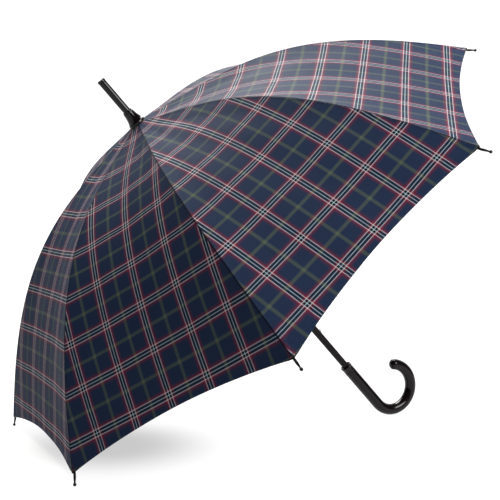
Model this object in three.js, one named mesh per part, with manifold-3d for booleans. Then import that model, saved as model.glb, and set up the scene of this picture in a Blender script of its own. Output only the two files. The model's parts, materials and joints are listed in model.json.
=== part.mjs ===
// Stick umbrella with eight ribs, open, lying on two rib tips and its crook handle.
// Millimetres. Each piece is made in the umbrella's own frame: +Z along the shaft towards the ferrule,
// origin where the cover meets the shaft. The whole is then tilted so that it rests on the ground at Z = 0.
import * as THREE from "three";
import { mergeVertices } from "three/addons/utils/BufferGeometryUtils.js";
import Module from "manifold-3d";

const wasm = await Module();
wasm.setup();

// ---- driving dimensions -------------------------------------------------
const RIBS = 8;
const SPAN_R = 525; // shaft axis to a corner of the cover
const DOME = [123.12, -307.51, 772.99, -318.69]; // depth of the cover below its top, in powers of r / SPAN_R
const CLOTH_T = 0.8;
const CLOTH_HOLE_R = 7.9;
const HEM_BOW = 13; // how far each hem bows in between two corners
const CLOTH_SAG = 8; // how far each panel is drawn in between two ribs
const CLOTH_GAP = 0.2;

const SHAFT_R = 6.5;
const SHAFT_BORE_R = 5.6;
const SHAFT_TOP = 8;
const SHAFT_END = -676;
const RUNNING_GAP = 0.35;
const GAP = 0.3;

const FERRULE_R = 6.65;
const FERRULE_TOP = 91.6;
const BELL_TOP = 25;
const BELL_R = 15.2;

const HINGE_R = 10.5; // circle of the rib and stretcher hinges
const CROWN_Z = -9;
const NOTCH_R = 14;
const NOTCH_CORE_R = 8.1;
const WIRE_R = 0.6;
const SLOT_W = 2.5;

const RIB_DROP = 4.4; // rib centre line below the cover
const RIB_H = 3;
const RIB_W = 3;
const ROD = 2.6;
const TAB_T = 1.6;
const EYE_R = 1.7;
const EYE_HOLE_R = 0.9;
const CLIP_R = 249; // where the stretcher is clipped to the rib
const CLIP_DROP = 4.9;
const SPLICE_R = 255; // where the inner rib hands over to the outer rod
const RIVET_R = 0.85;
const RIVET_HOLE_R = 1.15;
const STRETCHER_H = 2.6;
const STRETCHER_W = 3.4;

const SLEEVE_R = 8.3;
const SLEEVE_L = 36.5; // runner sleeve below its hinges
const WINDOW_TOP = 25;
const WINDOW_H = 8;
const WINDOW_W = 3.6;
const GRIP_R = 11.5;

const TOOTH_W = 2.6;
const TOOTH_H = 7;
const TOOTH_REACH = 9;
const LEAF_T = 0.6;
const LEAF_W = 3.2;
const LEAF_L = 34;
export const CATCH_TRAVEL = 2.6;
const CATCH_TURN = Math.PI / RIBS; // the catches face between two ribs

const TIP_L = 16; // a rib tip stands this far past the cover's corner
const TIP_STEM_R = 1.4;
const TIP_BALL_R = 2.6;

const HANDLE_R = 10.6;
const COLLAR_TOP = -612.8;
const COLLAR_L = 13;
const BEND_START = -722.7;
const BEND_R = 44.45;
const BEND_ARC = 3.8658;
const BEND_TURN = Math.PI / RIBS; // the crook opens upwards, midway between two ribs

const CLOSED_HINGE_R = 22.5; // shaft axis to a clip when furled
const CLOSED_TIP_R = 17.5; // shaft axis to a rib tip when furled

// ---- shape helpers ------------------------------------------------------
const V = (x, y, z) => new THREE.Vector3(x, y, z);

function solid(geometry) {
  const g = geometry.clone();
  for (const name of Object.keys(g.attributes))
    if (name !== "position") g.deleteAttribute(name);
  const m = mergeVertices(g, 1e-4);
  return new wasm.Manifold(
    new wasm.Mesh({
      numProp: 3,
      vertProperties: Float32Array.from(m.attributes.position.array),
      triVerts: Uint32Array.from(m.index.array),
    }),
  );
}

function geometryOf(made) {
  const mesh = made.getMesh();
  const g = new THREE.BufferGeometry();
  g.setAttribute(
    "position",
    new THREE.BufferAttribute(Float32Array.from(mesh.vertProperties), 3),
  );
  g.setIndex(new THREE.BufferAttribute(Uint32Array.from(mesh.triVerts), 1));
  const flat = g.toNonIndexed();
  flat.computeVertexNormals();
  return flat;
}

const join = (first, ...rest) =>
  geometryOf(rest.reduce((a, b) => a.add(solid(b)), solid(first)));
const cut = (first, ...rest) =>
  geometryOf(rest.reduce((a, b) => a.subtract(solid(b)), solid(first)));

// a body of revolution about Z from [radius, height] pairs
function turned(profile, sides = 24) {
  const make = (points) =>
    new THREE.LatheGeometry(
      points.map(([r, z]) => new THREE.Vector2(r, z)),
      sides,
    ).rotateX(Math.PI / 2);
  const first = make(profile);
  return solid(first).volume() > 0 ? first : make([...profile].reverse());
}

const ring = (r0, r1, z0, z1, sides) =>
  turned(
    [
      [r0, z0],
      [r1, z0],
      [r1, z1],
      [r0, z1],
      [r0, z0],
    ],
    sides,
  );

const rod = (r, z0, z1, sides) =>
  turned(
    [
      [0, z0],
      [r, z0],
      [r, z1],
      [0, z1],
    ],
    sides,
  );

// a flat plate in the X-Z plane, of thickness t across Y, centred on y
function plate(points, t, y = 0, holes = []) {
  const outline = points.map(([x, z]) => new THREE.Vector2(x, z));
  if (THREE.ShapeUtils.isClockWise(outline)) outline.reverse();
  const shape = new THREE.Shape(outline);
  for (const [x, z, r] of holes) {
    const circle = [];
    for (let k = 0; k < 8; k++)
      circle.push(
        new THREE.Vector2(
          x + r * Math.cos((k * Math.PI) / 4),
          z - r * Math.sin((k * Math.PI) / 4),
        ),
      );
    shape.holes.push(new THREE.Path(circle));
  }
  return new THREE.ExtrudeGeometry(shape, {
    depth: t,
    bevelEnabled: false,
  })
    .rotateX(Math.PI / 2)
    .translate(0, y + t / 2, 0);
}

// the outline of a bar of height h along a line of [x, z] points, with round ends where asked
function bar(line, h, roundStart = false, roundEnd = false) {
  const up = [],
    down = [];
  const normal = (i) => {
    const a = line[Math.max(0, i - 1)],
      b = line[Math.min(line.length - 1, i + 1)];
    const l = Math.hypot(b[0] - a[0], b[1] - a[1]);
    return [-(b[1] - a[1]) / l, (b[0] - a[0]) / l];
  };
  line.forEach(([x, z], i) => {
    const [nx, nz] = normal(i);
    up.push([x + (nx * h) / 2, z + (nz * h) / 2]);
    down.push([x - (nx * h) / 2, z - (nz * h) / 2]);
  });
  const cap = ([x, z], [nx, nz], sign) => {
    const out = [];
    for (let k = 1; k < 5; k++) {
      const a = (k * Math.PI) / 5;
      const c = Math.cos(a),
        s = Math.sin(a);
      out.push([
        x + (h / 2) * (c * nx + sign * s * nz),
        z + (h / 2) * (c * nz - sign * s * nx),
      ]);
    }
    return out;
  };
  const n = line.length - 1;
  return [
    ...up,
    ...(roundEnd ? cap(line[n], normal(n), 1) : []),
    ...down.reverse(),
    ...(roundStart ? cap(line[0], normal(0), -1).reverse() : []),
  ];
}

// a block with its centre at a distance from the axis in the direction turn
const block = (w, d, h, r, turn, z) =>
  new THREE.BoxGeometry(d, w, h).translate(r, 0, z).rotateZ(turn);

// ---- the cover's and the ribs' lines --------------------------------------
const depth = (r) =>
  DOME.reduce((sum, a, k) => sum + a * (r / SPAN_R) ** (k + 1), 0);
const RIB_START_DROP = -CROWN_Z - depth(HINGE_R) - RIB_DROP;
const ribZ = (r) =>
  -depth(r) -
  RIB_DROP -
  (r < 60 ? RIB_START_DROP * (1 - (r - HINGE_R) / (60 - HINGE_R)) ** 2 : 0);
const ribPoint = (r) => [r, ribZ(r)];
const slopeAt = (f, r) => {
  const d = [2, f(r + 1) - f(r - 1)];
  const l = Math.hypot(...d);
  return [d[0] / l, d[1] / l];
};
const STATIONS = [16.5, 40, 70, 110, 150, 190, 225, 255];
const OUTER_STATIONS = [257.5, 290, 330, 370, 410, 450, 490, 524];

const pivot = [HINGE_R, CROWN_Z]; // rib hinge at the crown
const alongClip = slopeAt(ribZ, CLIP_R);
const clip = [
  CLIP_R + alongClip[1] * CLIP_DROP,
  ribZ(CLIP_R) - alongClip[0] * CLIP_DROP,
]; // stretcher pivot on the rib
const splice = ribPoint(SPLICE_R);
const stretcherLength = Math.hypot(clip[0] - pivot[0], clip[1] - pivot[1]);
const runner = [HINGE_R, 2 * clip[1] - pivot[1]]; // stretcher hinge on the runner
const openAngle = Math.atan2(clip[0] - pivot[0], pivot[1] - clip[1]);
const closedAngle = Math.asin((CLOSED_HINGE_R - HINGE_R) / stretcherLength);
const foldTravel = openAngle - closedAngle;
const endSlope = slopeAt((r) => -depth(r), SPAN_R - 1);
const tip = [
  SPAN_R + endSlope[0] * TIP_L + endSlope[1] * 1.5,
  -depth(SPAN_R) + endSlope[1] * TIP_L - endSlope[0] * 1.5,
];
// how far the outer rod springs straight when furled
const turn2 = ([x, z], [cx, cz], a) => [
  cx + (x - cx) * Math.cos(a) + (z - cz) * Math.sin(a),
  cz - (x - cx) * Math.sin(a) + (z - cz) * Math.cos(a),
];
let lo = 0,
  hi = 0.8;
for (let k = 0; k < 60; k++) {
  const mid = (lo + hi) / 2;
  const t = turn2(turn2(tip, splice, -mid), pivot, foldTravel);
  if (t[0] < CLOSED_TIP_R) lo = mid;
  else hi = mid;
}
const flexTravel = (lo + hi) / 2;

// ---- pieces that repeat round the shaft ------------------------------------
const innerRib = join(
  plate(bar(STATIONS.map(ribPoint), RIB_H, false, true), RIB_W),
  plate(bar([pivot, ribPoint(22)], 2 * EYE_R, true), TAB_T, 0, [
    [...pivot, EYE_HOLE_R],
  ]),
  plate(bar([ribPoint(239), ribPoint(CLIP_R + 2.4)], 4.4), 4.6),
  plate(bar([ribPoint(CLIP_R), clip], 4.4, false, true), TAB_T, 0, [
    [...clip, RIVET_HOLE_R],
  ]),
);
const outerRib = plate(bar(OUTER_STATIONS.map(ribPoint), ROD), ROD);

function stretcherShape() {
  const d = [
    (runner[0] - clip[0]) / stretcherLength,
    (runner[1] - clip[1]) / stretcherLength,
  ];
  const at = (s) => [clip[0] + d[0] * s, clip[1] + d[1] * s];
  const L = stretcherLength;
  const ear = bar([clip, at(12)], 3.8, true);
  return join(
    plate(bar([at(3.6), at(L - 6)], STRETCHER_H), STRETCHER_W),
    plate(ear, 0.9, 1.65),
    plate(ear, 0.9, -1.65),
    rod(RIVET_R, -2.4, 2.4, 8).rotateX(Math.PI / 2).translate(clip[0], 0, clip[1]),
    plate(bar([at(L - 9), runner], 2 * EYE_R, false, true), TAB_T, 0, [
      [...runner, EYE_HOLE_R],
    ]),
  );
}
const stretcher = stretcherShape();

const end = ribPoint(524.4);
const tipDir = [tip[0] - end[0], tip[1] - end[1]];
const tipLength = Math.hypot(...tipDir);
const ribTip = turned(
  [
    [0, 0],
    [TIP_STEM_R + 0.3, 0],
    [TIP_STEM_R + 0.3, 1.5],
    [TIP_STEM_R, 2],
    [TIP_STEM_R - 0.15, tipLength - TIP_BALL_R * 0.9],
    ...[0.62, 1.05, 1.57, 2.1, 2.65].map((a) => [
      TIP_BALL_R * Math.sin(a),
      tipLength - TIP_BALL_R * Math.cos(a),
    ]),
    [0, tipLength + TIP_BALL_R],
  ],
  8,
)
  .rotateY(Math.atan2(tipDir[0], tipDir[1]))
  .translate(end[0], 0, end[1]);

// One share of the cover: the cloth on both sides of a rib, out to the middle of the panels beside it.
const CLOTH_STATIONS = [CLOTH_HOLE_R, ...STATIONS, 290, 330, 370, 410, 450, 490, SPAN_R];
function clothPoint(r, m, side) {
  const bow = 4 * m * (1 - m);
  const rr = r - HEM_BOW * (r / SPAN_R) ** 3 * bow;
  const a = ((2 * Math.PI) / RIBS) * side;
  const near = V(rr, 0, -depth(rr));
  const far = V(rr * Math.cos(a), rr * Math.sin(a), -depth(rr));
  const p = near.multiplyScalar(1 - m).add(far.multiplyScalar(m));
  const s = slopeAt((x) => -depth(x), Math.max(2, rr));
  const q = r / SPAN_R;
  const sag = CLOTH_SAG * bow * Math.sin(0.7 * Math.PI * q) * Math.min(1, 8 * q);
  return p.add(
    V(Math.cos(a / 2) * s[1], Math.sin(a / 2) * s[1], -s[0]).multiplyScalar(sag),
  );
}
function clothShare() {
  const half = 2;
  const rows = CLOTH_STATIONS.map((r) => {
    const row = [];
    for (let k = -half; k <= half; k++) {
      const side = k < 0 ? -1 : 1;
      const most = 0.5 - CLOTH_GAP / (2 * r * Math.sin(Math.PI / RIBS));
      row.push(clothPoint(r, (Math.abs(k) / half) * most, side));
    }
    return row;
  });
  const nr = rows.length,
    ns = 2 * half + 1;
  const normals = rows.map((row, i) =>
    row.map((_, k) => {
      const a = rows[Math.min(nr - 1, i + 1)][k]
        .clone()
        .sub(rows[Math.max(0, i - 1)][k]);
      const b = row[Math.min(ns - 1, k + 1)].clone().sub(row[Math.max(0, k - 1)]);
      return a.cross(b).normalize();
    }),
  );
  const pos = [];
  for (const sgn of [1, -1])
    rows.forEach((row, i) =>
      row.forEach((p, k) => {
        const n = normals[i][k].clone();
        if (k === 0 || k === ns - 1) {
          // at the middle of a panel the cloth's normal lies in the plane between the two ribs
          const a = ((k === 0 ? -1 : 1) * Math.PI) / RIBS;
          const across = V(-Math.sin(a), Math.cos(a), 0);
          n.addScaledVector(across, -n.dot(across)).normalize();
        }
        const v = p.clone().addScaledVector(n, (sgn * CLOTH_T) / 2);
        pos.push(v.x, v.y, v.z);
      }),
    );
  const id = (top, i, k) => (top ? 0 : nr * ns) + i * ns + k;
  const tri = [];
  const quad = (a, b, c, d) => tri.push(a, b, c, a, c, d);
  for (let i = 0; i < nr - 1; i++)
    for (let k = 0; k < ns - 1; k++) {
      quad(id(1, i, k), id(1, i + 1, k), id(1, i + 1, k + 1), id(1, i, k + 1));
      quad(id(0, i, k), id(0, i, k + 1), id(0, i + 1, k + 1), id(0, i + 1, k));
    }
  for (let i = 0; i < nr - 1; i++) {
    quad(id(1, i, 0), id(0, i, 0), id(0, i + 1, 0), id(1, i + 1, 0));
    const e = ns - 1;
    quad(id(1, i, e), id(1, i + 1, e), id(0, i + 1, e), id(0, i, e));
  }
  for (let k = 0; k < ns - 1; k++) {
    quad(id(1, 0, k), id(1, 0, k + 1), id(0, 0, k + 1), id(0, 0, k));
    const e = nr - 1;
    quad(id(1, e, k), id(0, e, k), id(0, e, k + 1), id(1, e, k + 1));
  }
  const g = new THREE.BufferGeometry();
  g.setAttribute("position", new THREE.Float32BufferAttribute(pos, 3));
  g.setIndex(tri);
  if (solid(g).volume() < 0) {
    const flipped = [];
    for (let i = 0; i < tri.length; i += 3)
      flipped.push(tri[i], tri[i + 2], tri[i + 1]);
    g.setIndex(flipped);
  }
  const flat = g.toNonIndexed();
  flat.computeVertexNormals();
  return flat;
}
const cloth = clothShare();

// ---- pieces on the shaft -----------------------------------------------------
const catchZ = runner[1] - WINDOW_TOP - WINDOW_H / 2; // both catches sit in the runner's window
const closedRunnerZ = pivot[1] - 2 * stretcherLength * Math.cos(closedAngle);
const lowCatchZ = closedRunnerZ - WINDOW_TOP - WINDOW_H / 2;
const pinZ = runner[1] + 3.5 + 0.5 + 1;

const slotFor = (z) => block(3.4, 4, TOOTH_H + 1, SHAFT_R, CATCH_TURN, z);
const shaft = cut(
  ring(SHAFT_BORE_R, SHAFT_R, SHAFT_END, SHAFT_TOP, 24),
  slotFor(catchZ),
  slotFor(lowCatchZ),
  rod(1.2, -10, 10, 10)
    .rotateX(Math.PI / 2)
    .rotateZ(CATCH_TURN)
    .translate(0, 0, pinZ),
);

function catchShape(z) {
  const x0 = 4.6;
  const h = TOOTH_H / 2;
  // a tooth with a sloping lower face, on a leaf that lies inside the tube
  const tooth = plate(
    [
      [x0 - 0.4, z - h],
      [SHAFT_R + 0.4, z - h],
      [TOOTH_REACH, z + h - 2.6],
      [TOOTH_REACH, z + h - 0.6],
      [TOOTH_REACH - 0.6, z + h],
      [x0 - 0.4, z + h],
    ],
    TOOTH_W,
  );
  const leaf = new THREE.BoxGeometry(LEAF_T, LEAF_W, LEAF_L).translate(
    x0 - LEAF_T / 2,
    0,
    z - 6,
  );
  return join(tooth, leaf).rotateZ(CATCH_TURN);
}

const slots = (z0, z1) =>
  Array.from({ length: RIBS }, (_, i) =>
    new THREE.BoxGeometry(12, SLOT_W, z1 - z0)
      .translate(8.6 - 0.05 + 6, 0, (z0 + z1) / 2)
      .rotateZ((-i * 2 * Math.PI) / RIBS),
  );
const groove = (z0, z1) => ring(HINGE_R - 0.95, HINGE_R + 0.95, z0, z1, 32);

const crownNotch = cut(
  turned(
    [
      [SHAFT_R + GAP, CROWN_Z - 3.5],
      [NOTCH_R - 0.8, CROWN_Z - 3.5],
      [NOTCH_R, CROWN_Z - 2.7],
      [NOTCH_R, CROWN_Z + 3.7],
      [NOTCH_R - 0.8, CROWN_Z + 4.5],
      [SHAFT_R + GAP, CROWN_Z + 4.5],
      [SHAFT_R + GAP, CROWN_Z - 3.5],
    ],
    32,
  ),
  ...slots(CROWN_Z - 5, CROWN_Z + 2.5),
  groove(CROWN_Z - 5, CROWN_Z + 0.95),
);

const runnerZ = runner[1];
const runnerBody = cut(
  turned(
    [
      [SHAFT_R + RUNNING_GAP, runnerZ - SLEEVE_L],
      [GRIP_R - 0.8, runnerZ - SLEEVE_L],
      [GRIP_R, runnerZ - SLEEVE_L + 0.8],
      [GRIP_R, runnerZ - SLEEVE_L + 2.2],
      [SLEEVE_R, runnerZ - SLEEVE_L + 3],
      [SLEEVE_R, runnerZ - 9],
      [NOTCH_R - 0.8, runnerZ - 4.5],
      [NOTCH_R, runnerZ - 3.7],
      [NOTCH_R, runnerZ + 2.7],
      [NOTCH_R - 0.8, runnerZ + 3.5],
      [SHAFT_R + RUNNING_GAP, runnerZ + 3.5],
      [SHAFT_R + RUNNING_GAP, runnerZ - SLEEVE_L],
    ],
    32,
  ),
  ...slots(runnerZ - 2.5, runnerZ + 5),
  groove(runnerZ - 0.95, runnerZ + 5),
  block(WINDOW_W, 6, WINDOW_H, SLEEVE_R, CATCH_TURN, catchZ),
);

const hingeWire = (z) =>
  new THREE.TorusGeometry(HINGE_R, WIRE_R, 6, 32).translate(0, 0, z);

const ferrule = turned(
  [
    [0, -12],
    [4.6, -12],
    [SHAFT_BORE_R - GAP, -11],
    [SHAFT_BORE_R - GAP, SHAFT_TOP + GAP],
    [FERRULE_R, SHAFT_TOP + GAP],
    [FERRULE_R, FERRULE_TOP - 5.2],
    [FERRULE_R + 0.45, FERRULE_TOP - 4.6],
    [FERRULE_R + 0.45, FERRULE_TOP - 0.8],
    [FERRULE_R - 0.4, FERRULE_TOP],
    [0, FERRULE_TOP],
  ],
  24,
);
const bellFloor = (r) => -depth(r) + CLOTH_T / 2 + 0.75;
const bell = turned(
  [
    [FERRULE_R + GAP, bellFloor(FERRULE_R + GAP)],
    [BELL_R - 0.4, bellFloor(BELL_R - 0.4)],
    [BELL_R, bellFloor(BELL_R) + 0.5],
    [BELL_R - 0.1, 0.6],
    [BELL_R - 1.4, 2.2],
    [12.2, 6.5],
    [10.6, 11.5],
    [9.6, 16.5],
    [9.0, 21],
    [8.8, BELL_TOP - 0.9],
    [8.2, BELL_TOP],
    [FERRULE_R + GAP, BELL_TOP],
    [FERRULE_R + GAP, bellFloor(FERRULE_R + GAP)],
  ],
  24,
);
const washer = ring(SHAFT_R + GAP, 12.4, CROWN_Z + 4.8, CROWN_Z + 5.5, 24);

const pin = rod(0.9, -8.4, 8.4, 8)
  .rotateX(Math.PI / 2)
  .rotateZ(CATCH_TURN)
  .translate(0, 0, pinZ);

const collar = turned(
  [
    [SHAFT_R + GAP, COLLAR_TOP - COLLAR_L],
    [HANDLE_R, COLLAR_TOP - COLLAR_L],
    [HANDLE_R, COLLAR_TOP - 3.4],
    [HANDLE_R + 0.5, COLLAR_TOP - 2.9],
    [HANDLE_R + 0.5, COLLAR_TOP - 1],
    [HANDLE_R - 0.3, COLLAR_TOP],
    [8.6, COLLAR_TOP],
    [8.2, COLLAR_TOP - 1.6],
    [SHAFT_R + GAP, COLLAR_TOP - 1.6],
    [SHAFT_R + GAP, COLLAR_TOP - COLLAR_L],
  ],
  24,
);

// a round bar along a list of [point, radius, direction]
function roundBar(stations, sides) {
  const pos = [],
    tri = [];
  const side = V(-Math.sin(BEND_TURN), Math.cos(BEND_TURN), 0); // across the plane of the crook
  for (const [p, r, dir] of stations) {
    const out = dir.clone().cross(side).normalize();
    for (let k = 0; k < sides; k++) {
      const a = (k * 2 * Math.PI) / sides;
      const v = p
        .clone()
        .addScaledVector(out, r * Math.cos(a))
        .addScaledVector(side, r * Math.sin(a));
      pos.push(v.x, v.y, v.z);
    }
  }
  const n = stations.length;
  for (let i = 0; i < n - 1; i++)
    for (let k = 0; k < sides; k++) {
      const a = i * sides + k,
        b = i * sides + ((k + 1) % sides);
      tri.push(a, a + sides, b, b, a + sides, b + sides);
    }
  const first = stations[0][0],
    last = stations[n - 1][0];
  const c0 = pos.length / 3;
  pos.push(first.x, first.y, first.z, last.x, last.y, last.z);
  for (let k = 0; k < sides; k++) {
    tri.push(c0, k, (k + 1) % sides);
    tri.push(
      c0 + 1,
      (n - 1) * sides + ((k + 1) % sides),
      (n - 1) * sides + k,
    );
  }
  const g = new THREE.BufferGeometry();
  g.setAttribute("position", new THREE.Float32BufferAttribute(pos, 3));
  g.setIndex(tri);
  if (solid(g).volume() < 0) {
    const flipped = [];
    for (let i = 0; i < tri.length; i += 3)
      flipped.push(tri[i], tri[i + 2], tri[i + 1]);
    g.setIndex(flipped);
  }
  return g;
}
function crookShape() {
  const u = V(Math.cos(BEND_TURN), Math.sin(BEND_TURN), 0);
  const down = V(0, 0, -1);
  const top = COLLAR_TOP - COLLAR_L - GAP;
  const stations = [
    [V(0, 0, top), HANDLE_R - 0.35, down],
    [V(0, 0, top - 0.5), HANDLE_R, down],
    [V(0, 0, (top + BEND_START) / 2), HANDLE_R, down],
  ];
  const steps = 18;
  let p, dir;
  for (let k = 0; k <= steps; k++) {
    const a = (k * BEND_ARC) / steps;
    p = u.clone().multiplyScalar(BEND_R * (1 - Math.cos(a)));
    p.z = BEND_START - BEND_R * Math.sin(a);
    dir = u.clone().multiplyScalar(Math.sin(a));
    dir.z = -Math.cos(a);
    stations.push([p, HANDLE_R, dir]);
  }
  for (const a of [0.35, 0.7, 1.0, 1.25])
    stations.push([
      p.clone().addScaledVector(dir, HANDLE_R * 0.8 * Math.sin(a)),
      HANDLE_R * Math.cos(a),
      dir,
    ]);
  return cut(
    roundBar(stations, 20),
    rod(SHAFT_R + GAP, SHAFT_END - 1, top + 5, 24),
  );
}
const crook = crookShape();

// ---- the scene -----------------------------------------------------------------
const finish = (color, roughness, metalness) =>
  new THREE.MeshStandardMaterial({ color, roughness, metalness });
const black = finish(0x0c0b0c, 0.28, 0.1);
const gloss = finish(0x0b0809, 0.14, 0.0);
const steel = finish(0x2c2c2e, 0.42, 0.7);
const bright = finish(0x9a9a9c, 0.3, 0.9);
const nylon = finish(0x121214, 0.45, 0.0);
const plaid = finish(0x26304e, 0.72, 0.0);
const felt = finish(0x15151a, 0.9, 0.0);

const umbrella = new THREE.Group();
const add = (name, geometry, material, parent = umbrella) => {
  const mesh = new THREE.Mesh(geometry, material);
  mesh.name = name;
  parent.add(mesh);
  return mesh;
};

add("shaft", shaft, black);
add("ferrule", ferrule, gloss);
add("ferrule_bell", bell, gloss);
add("cover_washer", washer, felt);
add("crown_notch", crownNotch, nylon);
add("crown_wire", hingeWire(CROWN_Z), bright);
add("runner_stop_pin", pin, bright);
add("runner", runnerBody, nylon);
add("runner_wire", hingeWire(runnerZ), bright);
add("top_catch", catchShape(catchZ), bright);
add("bottom_catch", catchShape(lowCatchZ), bright);
add("handle_collar", collar, gloss);
add("handle_crook", crook, gloss);

for (let i = 1; i <= RIBS; i++) {
  const spoke = new THREE.Group();
  spoke.rotation.z = (-(i - 1) * 2 * Math.PI) / RIBS;
  umbrella.add(spoke);
  add(`rib_${i}_inner`, innerRib, steel, spoke);
  add(`rib_${i}_outer`, outerRib, black, spoke);
  add(`rib_${i}_tip`, ribTip, black, spoke);
  add(`stretcher_${i}`, stretcher, steel, spoke);
  add(`cover_panel_${i}`, cloth, plaid, spoke);
}

// The ground touches the two lowest rib tips and the outside of the crook, and the shaft's
// plane of symmetry is upright. The lean is found from the pieces' own points.
umbrella.updateMatrixWorld(true);
const lowest = (names, normal) => {
  let least = Infinity;
  umbrella.traverse((o) => {
    if (!o.isMesh || !names.some((n) => o.name === n)) return;
    const at = o.geometry.getAttribute("position");
    const v = new THREE.Vector3();
    for (let i = 0; i < at.count; i++)
      least = Math.min(
        least,
        v.fromBufferAttribute(at, i).applyMatrix4(o.matrixWorld).dot(normal),
      );
  });
  return least;
};
const upAt = (lean) =>
  V(
    Math.cos(lean) * Math.cos(BEND_TURN),
    Math.cos(lean) * Math.sin(BEND_TURN),
    Math.sin(lean),
  );
let a0 = 0.5,
  a1 = 1.2;
for (let k = 0; k < 40; k++) {
  const mid = (a0 + a1) / 2;
  const up = upAt(mid);
  if (lowest(["rib_4_tip", "rib_5_tip"], up) < lowest(["handle_crook"], up))
    a0 = mid;
  else a1 = mid;
}
const lean = (a0 + a1) / 2;
const up = upAt(lean);
const along = V(0, 0, 1).addScaledVector(up, -up.z).normalize(); // the shaft's direction on the ground
const across = up.clone().cross(along);
// rows are the ground frame's axes: +X follows the ferrule, +Y is across, +Z is up
const basis = new THREE.Matrix4().set(
  along.x, along.y, along.z, 0,
  across.x, across.y, across.z, 0,
  up.x, up.y, up.z, 0,
  0, 0, 0, 1,
);
umbrella.quaternion.setFromRotationMatrix(basis);
const group = new THREE.Group();
group.name = "stick_umbrella";
group.add(umbrella);
group.updateMatrixWorld(true);
const size = new THREE.Box3().setFromObject(group, true);
umbrella.position.set(
  -(size.min.x + size.max.x) / 2,
  -(size.min.y + size.max.y) / 2,
  -size.min.z,
);
group.updateMatrixWorld(true);

group.userData = {
  lean,
  pivot,
  clip,
  splice,
  runner,
  stretcherLength,
  foldTravel,
  flexTravel,
  closedRunnerZ,
  catchZ,
  lowCatchZ,
  tip,
};

export default group;
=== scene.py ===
"""Stick umbrella, open and lying on two rib tips and its crook: the visual model and its scene.

Every shape is made in the umbrella's own frame, in millimetres: +Z along the shaft towards the
ferrule, origin where the cover meets the shaft. row() turns that into the frame of the CAD model.
"""

import json
import math

import bpy  # noqa: E402
import numpy as np  # noqa: E402
from mathutils import Matrix, Vector  # noqa: E402


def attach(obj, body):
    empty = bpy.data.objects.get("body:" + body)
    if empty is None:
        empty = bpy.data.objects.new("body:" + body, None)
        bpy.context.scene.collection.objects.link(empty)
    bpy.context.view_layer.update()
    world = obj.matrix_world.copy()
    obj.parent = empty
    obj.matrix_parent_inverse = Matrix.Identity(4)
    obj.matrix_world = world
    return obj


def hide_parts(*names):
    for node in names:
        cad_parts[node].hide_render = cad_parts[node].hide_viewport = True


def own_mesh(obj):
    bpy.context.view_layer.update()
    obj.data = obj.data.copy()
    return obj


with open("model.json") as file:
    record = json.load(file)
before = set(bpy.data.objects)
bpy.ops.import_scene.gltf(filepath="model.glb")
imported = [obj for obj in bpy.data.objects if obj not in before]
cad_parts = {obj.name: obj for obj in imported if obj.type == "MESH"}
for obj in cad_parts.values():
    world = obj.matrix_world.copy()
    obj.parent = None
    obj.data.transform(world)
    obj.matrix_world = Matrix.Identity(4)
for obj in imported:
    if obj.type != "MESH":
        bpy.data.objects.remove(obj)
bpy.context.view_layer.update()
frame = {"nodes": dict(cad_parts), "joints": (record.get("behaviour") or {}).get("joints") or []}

# ---- the umbrella's frame, from the rib hinges ------------------------------------------
joints = {j["name"]: j for j in frame["joints"]}
hinge = np.array([joints[f"rib_{i}_fold"]["pos_m"] for i in range(1, 9)])
centre = hinge.mean(0)
EX = hinge[0] - centre
EX /= np.linalg.norm(EX)
EY = np.array(joints["rib_1_fold"]["axis"], float)
EY /= np.linalg.norm(EY)
EZ = np.cross(EX, EY)
AX = np.array([EX, EY, EZ])
ORIGIN = centre + 0.009 * EZ


def row(points):
    return np.asarray(points, float) * 0.001 @ AX + ORIGIN


def row_dir(d):
    return np.asarray(d, float) @ AX


def angle_of(i):
    return -(i - 1) * math.pi / 4


def spoke(points, i):
    """Points made in the plane of rib 1, turned to rib i."""
    a = angle_of(i)
    p = np.asarray(points, float)
    c, s = math.cos(a), math.sin(a)
    return np.stack(
        [p[..., 0] * c - p[..., 1] * s, p[..., 0] * s + p[..., 1] * c, p[..., 2]], -1
    )


# ---- camera -----------------------------------------------------------------------------
# rows: the camera's right, down and forward in the umbrella's frame
CAM_R = np.array(
    [
        [0.7747595844, -0.1569211465, -0.6124731342],
        [-0.6277088967, -0.3068765050, -0.7154078219],
        [-0.0756909993, 0.9387239021, -0.3362563132],
    ]
)
CAM_T = np.array([-192.5027372, -216.6391401, 1569.0889292])
CAM_F = 925.8666 / 500  # focal length over the width of the picture

eye = row(-CAM_R.T @ CAM_T)
right, down, forward = (row_dir(v) for v in CAM_R)
camera_data = bpy.data.cameras.new("camera")
camera_data.sensor_width = 36
camera_data.lens = CAM_F * 36
camera_data.clip_start = 0.05
camera_data.clip_end = 60
camera_data.dof.use_dof = False
camera = bpy.data.objects.new("camera", camera_data)
camera.matrix_world = Matrix(
    [
        [right[0], -down[0], -forward[0], eye[0]],
        [right[1], -down[1], -forward[1], eye[1]],
        [right[2], -down[2], -forward[2], eye[2]],
        [0, 0, 0, 1],
    ]
)
bpy.context.scene.collection.objects.link(camera)
bpy.context.scene.camera = camera


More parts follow.
